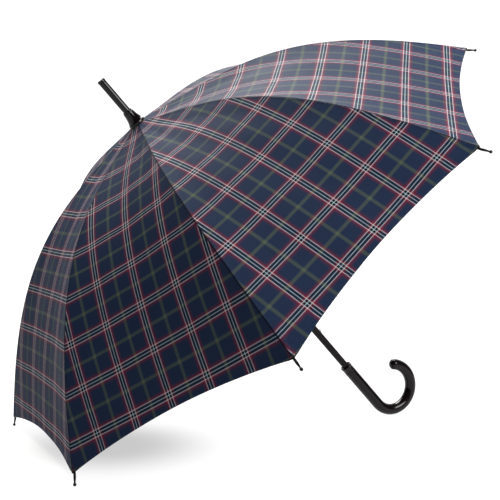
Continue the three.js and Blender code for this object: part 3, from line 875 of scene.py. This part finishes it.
Y = np.array([0.0, 1.0, 0.0])
inner_r = np.concatenate([np.linspace(16.5, 60, 10), np.linspace(70, SPLICE_R, 20)])
path = in_plane([rib_point(r) for r in inner_r])
section = channel(RIB_W, RIB_H, 0.5)
inner_rib = joined(
    [
        sweep(path, [section] * len(path), -Y),
        plate(bar([pivot, rib_point(22)], 2 * EYE_R, True), 1.6, 0, [(*pivot, EYE_HOLE)]),
        plate(bar([rib_point(239), rib_point(245), rib_point(CLIP_R + 2.4)], 4.4), 0.7, 1.95),
        plate(bar([rib_point(239), rib_point(245), rib_point(CLIP_R + 2.4)], 4.4), 0.7, -1.95),
        plate(bar([rib_point(CLIP_R), clip], 4.4, False, True), 1.6, 0, [(*clip, 1.15)]),
    ]
)

outer_r = np.linspace(257.5, 524, 60)
rod_path = in_plane([rib_point(r) for r in outer_r])
outer_rod = sweep(rod_path, [round_section(1.3)] * len(rod_path), -Y)
ferrule_path = in_plane([rib_point(r) for r in (257.3, 259, 262, 265.5, 266.2)])
outer_sleeve = sweep(
    ferrule_path, [round_section(x) for x in (1.55, 1.75, 1.75, 1.75, 1.45)], -Y
)

end = rib_point(524.4)
end_slope = slope(lambda r: -depth(r), SPAN_R - 1)
tip_end = np.array(
    [
        SPAN_R + end_slope[0] * TIP_L + end_slope[1] * 1.5,
        float(-depth(SPAN_R)) + end_slope[1] * TIP_L - end_slope[0] * 1.5,
    ]
)
tip_dir = tip_end - end
tip_len = float(np.linalg.norm(tip_dir))
tip_dir /= tip_len
ball_z = tip_len
profile = (
    [(0, 0.1), (1.6, 0.1), (1.95, 0.5), (2.05, 2.4), (1.95, 4.2), (1.7, 7.0), (1.5, tip_len - 5.0), (1.42, tip_len - 3.2), (1.62, tip_len - 2.15)]
    + [(BALL_R * math.sin(a), ball_z - BALL_R * math.cos(a)) for a in np.linspace(0.78, math.pi - 0.12, 12)]
    + [(0, ball_z + BALL_R)]
)
v, f = lathe(profile, 40)
ax_z = np.array([tip_dir[0], 0, tip_dir[1]])
ax_x = np.cross(Y, ax_z)
tip_mesh = (v[:, :1] * ax_x + v[:, 1:2] * Y + v[:, 2:] * ax_z + np.array([end[0], 0, end[1]]), f)

# the tip's socket on the end of the rod, and the eye that the corner of the cover is sewn to
socket_path = in_plane([rib_point(r) for r in (513.5, 514.5, 517, 520, 523, 524.6)])
socket = sweep(socket_path, [round_section(x, 28) for x in (1.55, 1.85, 1.9, 1.95, 2.0, 2.0)], -Y)
eye_top = np.array([523.6, -float(depth(523.6)) - 0.75])
tip_body = joined([tip_mesh, socket, plate(bar([rib_point(521.4), eye_top], 3.8), 2.2)])

d_str = (runner_hinge - clip) / L_STRETCH


def on_stretcher(s):
    return clip + d_str * s


ear = bar([clip, on_stretcher(12)], 3.8, True)
pin_v, pin_f = lathe(
    [(0, -2.4), (0.7, -2.36), (1.25, -2.2), (1.35, -2.1), (0.85, -2.08), (0.85, 2.08), (1.35, 2.1), (1.25, 2.2), (0.7, 2.36), (0, 2.4)], 24
)
pin_v = np.stack([pin_v[:, 0] + clip[0], pin_v[:, 2], pin_v[:, 1] + clip[1]], -1)
pin = facing_out(pin_v, pin_f)
stretcher_path = in_plane([on_stretcher(s) for s in np.linspace(3.6, L_STRETCH - 6, 16)])
stretcher = joined(
    [
        sweep(stretcher_path, [channel(3.4, 2.6, 0.5)] * 16, -Y),
        plate(ear, 0.9, 1.65),
        plate(ear, 0.9, -1.65),
        pin,
        plate(bar([on_stretcher(L_STRETCH - 9), runner_hinge], 2 * EYE_R, False, True), 1.6, 0, [(*runner_hinge, EYE_HOLE)]),
    ]
)


def tie(r, drop=3.1, wide=2.15, high=3.3, turns=3):
    """Thread wound round a rib and through the seam above it."""
    c = rib_point(r)
    s = slope(rib_z, r)
    t = np.array([s[0], 0, s[1]])
    n = np.array([-s[1], 0, s[0]])
    pts = []
    for k in range(24 * turns + 1):
        a = 2 * math.pi * k / 24
        pts.append(
            np.array([c[0], 0, c[1]])
            + n * (0.75 + high * 0.5 * math.cos(a))
            + Y * (wide * 1.0 * math.sin(a))
            + t * ((k / 24 - turns / 2) * 0.5)
        )
    pts = np.array(pts)
    verts, faces = [], []
    m = 6
    for k, p in enumerate(pts):
        d = pts[min(len(pts) - 1, k + 1)] - pts[max(0, k - 1)]
        d /= np.linalg.norm(d)
        u = np.cross(d, t)
        u /= np.linalg.norm(u)
        w = np.cross(d, u)
        for j in range(m):
            b = 2 * math.pi * j / m
            verts.append(p + 0.22 * (u * math.cos(b) + w * math.sin(b)))
    for k in range(len(pts) - 1):
        for j in range(m):
            a0, b0 = k * m + j, k * m + (j + 1) % m
            faces.append((a0, b0, b0 + m, a0 + m))
    faces.append(tuple(reversed(range(m))))
    faces.append(tuple(range((len(pts) - 1) * m, len(pts) * m)))
    return facing_out(np.array(verts), faces)


def place_piece(name, body, mesh, i, material, replaces=(), sharp=35):
    v, f = mesh
    o = make(name, spoke(v, i) if i else v, f, material, sharp=sharp)
    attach(o, body)
    if replaces:
        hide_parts(*replaces)
    return o


for i in range(1, 9):
    place_piece(f"rib_{i}_channel", f"rib_{i}", inner_rib, i, STEEL, [f"rib_{i}_inner"])
    place_piece(f"rib_{i}_rod", f"rib_{i}_end", joined([outer_rod, outer_sleeve]), i, ROD, [f"rib_{i}_outer"])
    place_piece(f"tip_{i}", f"rib_{i}_end", tip_body, i, GLOSS, [f"rib_{i}_tip"], 40)
    place_piece(f"stretcher_{i}_channel", f"stretcher_{i}", stretcher, i, STEEL, [f"stretcher_{i}"])
    place_piece(f"tie_{i}_1", f"rib_{i}", tie(120), i, THREAD)
    place_piece(f"tie_{i}_2", f"rib_{i}", tie(205), i, THREAD)
    place_piece(f"tie_{i}_3", f"rib_{i}_end", tie(390), i, THREAD)

# ---- pieces on the shaft ------------------------------------------------------------------------
RZ = float(runner_hinge[1])
CATCH_Z = RZ - 25 - 4
closed_angle = math.asin((22.5 - HINGE_R) / L_STRETCH)
LOW_CATCH_Z = CROWN_Z - 2 * L_STRETCH * math.cos(closed_angle) - 29
PIN_Z = RZ + 5


def put(name, mesh, material, replaces, body="root", sharp=35):
    return place_piece(name, body, mesh, 0, material, replaces, sharp)


tube = make(
    "shaft_tube",
    *lathe([(SHAFT_BORE, SHAFT_END), (SHAFT_R - 0.2, SHAFT_END), (SHAFT_R, SHAFT_END + 0.2), (SHAFT_R, SHAFT_TOP), (SHAFT_BORE, SHAFT_TOP), (SHAFT_BORE, SHAFT_END)], 72),
    LACQUER,
)
hole_v, hole_f = lathe([(0, -12), (1.2, -12), (1.2, 12), (0, 12)], 24)
hole_v = np.stack([hole_v[:, 0], hole_v[:, 2], hole_v[:, 1]], -1)
c8, s8 = math.cos(math.pi / 8), math.sin(math.pi / 8)
hole_v = np.stack([hole_v[:, 0] * c8 - hole_v[:, 1] * s8, hole_v[:, 0] * s8 + hole_v[:, 1] * c8, hole_v[:, 2] + PIN_Z], -1)
carve(
    tube,
    [
        block(SHAFT_R, 0, CATCH_Z, 3.4, 4, 8, math.pi / 8),
        block(SHAFT_R, 0, LOW_CATCH_Z, 3.4, 4, 8, math.pi / 8),
        facing_out(hole_v, hole_f),
    ],
)
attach(tube, "root")
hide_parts("shaft")

ferrule_profile = [
    (0, -11.9),
    (4.4, -11.9),
    (5.2, -11.2),
    (5.25, SHAFT_TOP + GAP),
    (FERRULE_R, SHAFT_TOP + GAP),
    (FERRULE_R, 84.6),
    (6.55, 85.6),
    (6.5, 86.2),
    (6.75, 86.7),
    (7.05, 87.3),
    (7.1, 88.2),
    (7.1, 90.4),
    (7.0, 91.0),
    (6.7, 91.42),
    (6.3, 91.56),
    (3.0, 91.6),
    (0, 91.6),
]
put("ferrule_spike", lathe(ferrule_profile, 96), GLOSS, ["ferrule"], sharp=28)


def bell_floor(r):
    return -float(depth(r)) + 0.4 + 0.75


flare = curve_of([(15.05, 1.0), (13.9, 2.5), (12.2, 6.3), (10.65, 11.4), (9.75, 16.2), (9.25, 20.4), (9.15, 21.4)], 28)
bell_profile = (
    [(FERRULE_R + GAP, bell_floor(FERRULE_R + GAP)), (14.8, bell_floor(14.8)), (15.15, bell_floor(15.15) + 0.3)]
    + [(15.2, bell_floor(15.2) + 0.9)]
    + [tuple(p) for p in flare]
    + [(8.75, 21.7), (8.6, 22.1), (8.6, 23.9), (8.45, 24.6), (8.1, 24.93), (7.6, 25.0), (FERRULE_R + GAP, 25.0)]
    + [(FERRULE_R + GAP, bell_floor(FERRULE_R + GAP))]
)
put("bell_cap", lathe(bell_profile, 96), GLOSS, ["ferrule_bell"], sharp=35)

collar_profile = [
    (SHAFT_R + GAP, COLLAR_TOP - COLLAR_L),
    (10.35, COLLAR_TOP - COLLAR_L),
    (HANDLE_R, COLLAR_TOP - COLLAR_L + 0.25),
    (HANDLE_R, COLLAR_TOP - 3.9),
    (10.75, COLLAR_TOP - 3.5),
    (11.0, COLLAR_TOP - 3.1),
    (11.1, COLLAR_TOP - 2.5),
    (11.05, COLLAR_TOP - 1.5),
    (10.75, COLLAR_TOP - 0.7),
    (10.2, COLLAR_TOP - 0.2),
    (9.6, COLLAR_TOP),
    (9.0, COLLAR_TOP - 0.1),
    (8.5, COLLAR_TOP - 0.5),
    (8.2, COLLAR_TOP - 1.2),
    (8.1, COLLAR_TOP - 1.6),
    (SHAFT_R + GAP, COLLAR_TOP - 1.6),
    (SHAFT_R + GAP, COLLAR_TOP - COLLAR_L),
]
put("collar_ring", lathe(collar_profile, 96), GLOSS, ["handle_collar"], sharp=40)

# the crook: a round bar, straight and then bent, with a bore for the shaft and a rounded end
u_bend = np.array([math.cos(BEND_TURN), math.sin(BEND_TURN), 0.0])
side_bend = np.array([-math.sin(BEND_TURN), math.cos(BEND_TURN), 0.0])
top_z = COLLAR_TOP - COLLAR_L - GAP
stations = [((0, 0, top_z), HANDLE_R - 0.3, (0, 0, -1)), ((0, 0, top_z - 0.09), HANDLE_R - 0.1, (0, 0, -1)), ((0, 0, top_z - 0.3), HANDLE_R, (0, 0, -1))]
stations += [((0, 0, z), HANDLE_R, (0, 0, -1)) for z in np.linspace(top_z - 4, BEND_START + 2, 12)]
for a in np.linspace(0, BEND_ARC, 90):
    p = u_bend * BEND_R * (1 - math.cos(a))
    p = np.array([p[0], p[1], BEND_START - BEND_R * math.sin(a)])
    d = u_bend * math.sin(a)
    d = np.array([d[0], d[1], -math.cos(a)])
    stations.append((tuple(p), HANDLE_R, tuple(d)))
p_end, d_end = np.array(stations[-1][0]), np.array(stations[-1][2])
for a in np.linspace(0.08, 1.52, 14):
    stations.append((tuple(p_end + d_end * HANDLE_R * 0.8 * math.sin(a)), HANDLE_R * math.cos(a), tuple(d_end)))
verts, faces = [], []
m_sides = 64
for p, r, d in stations:
    d = np.array(d)
    out = np.cross(d, side_bend)
    for k in range(m_sides):
        a = 2 * math.pi * k / m_sides
        verts.append(np.array(p) + out * r * math.cos(a) + side_bend * r * math.sin(a))
n_st = len(stations)
for k in range(n_st - 1):
    for j in range(m_sides):
        a, b = k * m_sides + j, k * m_sides + (j + 1) % m_sides
        faces.append((a, b, b + m_sides, a + m_sides))
faces.append(tuple(range((n_st - 1) * m_sides, n_st * m_sides)))
# the bore and the ring round it
bore = []
for r, z in ((SHAFT_R + GAP, top_z), (SHAFT_R + GAP, SHAFT_END - 1)):
    bore.append(len(verts))
    for k in range(m_sides):
        a = 2 * math.pi * k / m_sides
        out = np.cross(np.array([0, 0, -1.0]), side_bend)
        verts.append(np.array([0, 0, z]) + out * r * math.cos(a) + side_bend * r * math.sin(a))
for j in range(m_sides):
    k = (j + 1) % m_sides
    faces.append((k, j, bore[0] + j, bore[0] + k))
    faces.append((bore[0] + k, bore[0] + j, bore[1] + j, bore[1] + k))
faces.append(tuple(bore[1] + k for k in reversed(range(m_sides))))
put("crook_handle", facing_out(np.array(verts), faces), GLOSS, ["handle_crook"], sharp=50)


def slots(z0, z1):
    return [block(8.55 + 6, 0, (z0 + z1) / 2, 2.5, 12, z1 - z0, angle_of(k)) for k in range(1, 9)]


def groove(z0, z1):
    r0, r1 = HINGE_R - 0.95, HINGE_R + 0.95
    return lathe([(r0, z0), (r1, z0), (r1, z1), (r0, z1), (r0, z0)], 72)


notch = make(
    "notch_disc",
    *lathe(
        [
            (SHAFT_R + GAP, CROWN_Z - 3.5),
            (NOTCH_R - 0.8, CROWN_Z - 3.5),
            (NOTCH_R - 0.25, CROWN_Z - 3.25),
            (NOTCH_R, CROWN_Z - 2.7),
            (NOTCH_R, CROWN_Z + 3.7),
            (NOTCH_R - 0.25, CROWN_Z + 4.25),
            (NOTCH_R - 0.8, CROWN_Z + 4.5),
            (SHAFT_R + GAP, CROWN_Z + 4.5),
            (SHAFT_R + GAP, CROWN_Z - 3.5),
        ],
        72,
    ),
    NYLON,
)
carve(notch, slots(CROWN_Z - 5, CROWN_Z + 2.5) + [groove(CROWN_Z - 5, CROWN_Z + 0.95)])
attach(notch, "root")
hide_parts("crown_notch")

sleeve = make(
    "runner_sleeve",
    *lathe(
        [
            (SHAFT_R + 0.35, RZ - SLEEVE_L),
            (GRIP_R - 0.8, RZ - SLEEVE_L),
            (GRIP_R - 0.2, RZ - SLEEVE_L + 0.2),
            (GRIP_R, RZ - SLEEVE_L + 0.8),
            (GRIP_R, RZ - SLEEVE_L + 2.0),
            (GRIP_R - 0.4, RZ - SLEEVE_L + 2.5),
            (9.0, RZ - SLEEVE_L + 2.75),
            (SLEEVE_R + 0.15, RZ - SLEEVE_L + 3.2),
            (SLEEVE_R, RZ - SLEEVE_L + 4.2),
            (SLEEVE_R, RZ - 9.6),
            (SLEEVE_R + 0.4, RZ - 8.8),
            (NOTCH_R - 1.2, RZ - 4.9),
            (NOTCH_R - 0.4, RZ - 4.2),
            (NOTCH_R, RZ - 3.5),
            (NOTCH_R, RZ + 2.7),
            (NOTCH_R - 0.25, RZ + 3.25),
            (NOTCH_R - 0.8, RZ + 3.5),
            (SHAFT_R + 0.35, RZ + 3.5),
            (SHAFT_R + 0.35, RZ - SLEEVE_L),
        ],
        72,
    ),
    NYLON,
)
carve(
    sleeve,
    slots(RZ - 2.5, RZ + 5) + [groove(RZ - 0.95, RZ + 5), block(SLEEVE_R, 0, CATCH_Z, 3.6, 6, 8, math.pi / 8)],
)
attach(sleeve, "runner")
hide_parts("runner")


def wire_ring(z, r=HINGE_R, w=0.6):
    verts, faces = [], []
    n, m = 96, 12
    for k in range(n):
        a = 2 * math.pi * k / n
        for j in range(m):
            b = 2 * math.pi * j / m
            q = r + w * math.cos(b)
            verts.append((q * math.cos(a), q * math.sin(a), z + w * math.sin(b)))
    for k in range(n):
        for j in range(m):
            a0, b0 = k * m + j, k * m + (j + 1) % m
            a1, b1 = ((k + 1) % n) * m + j, ((k + 1) % n) * m + (j + 1) % m
            faces.append((a0, a1, b1, b0))
    return facing_out(np.array(verts), faces)


put("crown_wire_ring", wire_ring(CROWN_Z), BRIGHT, ["crown_wire"])
put("runner_wire_ring", wire_ring(RZ), BRIGHT, ["runner_wire"], body="runner")
for name in ("runner_stop_pin", "top_catch", "bottom_catch"):
    o = frame["nodes"][name]
    o.data.materials.clear()
    o.data.materials.append(BRIGHT)
washer = frame["nodes"]["cover_washer"]
washer.data.materials.clear()
washer.data.materials.append(FELT)

# ---- floor, backdrop and light -----------------------------------------------------------------
scene = bpy.context.scene
scene.view_settings.view_transform = "Standard"
scene.view_settings.look = "None"
scene.view_settings.exposure = 0.0
scene.view_settings.gamma = 1.0


def stage_material(name, colour, glow, painted_shadow=None):
    """Plain pale paper that glows a little, with a painted shadow where given: the glow is lower round one point of
    the floor, (x, y, radius, glow there).
    """
    m = Nodes(name, Specular_IOR_Level=0.0)
    p = m.tree.nodes.new("ShaderNodeTexCoord").outputs["Object"]
    soft = m.noise(p, 1.6, 2.0)
    c = m.mix(soft, tuple(0.985 * x for x in colour), colour)
    m.shader.inputs["Emission Color"].default_value = (1, 1, 1, 1)
    away = m.tree.nodes.new("ShaderNodeVectorMath")
    away.operation = "LENGTH"
    m.put(away, 0, p)
    light = m.range(away.outputs["Value"], 0.9, 2.4, glow, 1.0, True)
    # painted shadow: the glow falls off round one point, as a soft shadow under the cover's edge
    if painted_shadow:
        x, y, radius, low = painted_shadow
        near = m.tree.nodes.new("ShaderNodeVectorMath")
        near.operation = "DISTANCE"
        m.put(near, 0, p)
        near.inputs[1].default_value = (x, y, 0)
        light = m.math("MULTIPLY", light, m.range(near.outputs["Value"], 0.04, radius, low / glow, 1.0, True))
    m.put(m.shader, "Emission Strength", light)
    return m.end(c, m.range(soft, 0.3, 0.7, 0.88, 0.95))


def quad(name, corners, material):
    mesh = bpy.data.meshes.new(name)
    mesh.from_pydata(corners, [], [(0, 1, 2, 3)])
    mesh.materials.append(material)
    o = bpy.data.objects.new(name, mesh)
    scene.collection.objects.link(o)
    return o


# the floor, with a painted shadow under the cover's lower edge near the rib tips it lies on
quad("floor", [(-9, -9, 0), (9, -9, 0), (9, 9, 0), (-9, 9, 0)], stage_material("floor_white", (0.12, 0.12, 0.12), 0.94, (0.250, 0.005, 0.21, 0.53)))
ahead = Vector((float(forward[0]), float(forward[1]), 0)).normalized()
acrossv = Vector((ahead.y, -ahead.x, 0))
far = ahead * 5.2
quad(
    "backdrop",
    [tuple(far - acrossv * 9), tuple(far + acrossv * 9), tuple(far + acrossv * 9 + Vector((0, 0, 7))), tuple(far - acrossv * 9 + Vector((0, 0, 7)))],
    stage_material("backdrop_white", (0.3, 0.3, 0.3), 1.0),
)

# a pale wall all round and overhead, seen from any side but lighting nothing
ring = [(6.2 * math.cos(k * math.pi / 16), 6.2 * math.sin(k * math.pi / 16)) for k in range(32)]
wall = bpy.data.meshes.new("surround")
wall.from_pydata(
    [(x, y, z) for z in (-0.05, 6.8) for x, y in ring],
    [],
    [(k, (k + 1) % 32, 32 + (k + 1) % 32, 32 + k) for k in range(32)] + [tuple(range(32, 64))],
)
wall.materials.append(stage_material("surround_white", (0.3, 0.3, 0.3), 1.0))
surround = bpy.data.objects.new("surround", wall)
surround.visible_diffuse = False
surround.visible_glossy = False
surround.visible_transmission = False
surround.visible_volume_scatter = False
surround.visible_shadow = False
scene.collection.objects.link(surround)

world = bpy.data.worlds.new("studio")
scene.world = world
world.use_nodes = True
world.node_tree.nodes["Background"].inputs[0].default_value = (1, 1, 1, 1)
world.node_tree.nodes["Background"].inputs[1].default_value = 0.05


def area_light(name, at, target, size, power, colour=(1, 1, 1)):
    data = bpy.data.lights.new(name, "AREA")
    data.shape = "RECTANGLE"
    data.size, data.size_y = size
    data.energy = power
    data.color = colour
    o = bpy.data.objects.new(name, data)
    o.location = at
    o.rotation_mode = "QUATERNION"
    o.rotation_quaternion = (Vector(target) - Vector(at)).to_track_quat("-Z", "Y")
    scene.collection.objects.link(o)
    return o


area_light("overhead", (-0.02, -1.38, 3.32), (0.1, 0.0, 0.4), (3.0, 3.0), 470, (1.0, 0.975, 0.935))
area_light("softbox", (-0.97, 1.91, 1.355), (0.1, 0.1, 0.45), (1.2, 1.2), 68)
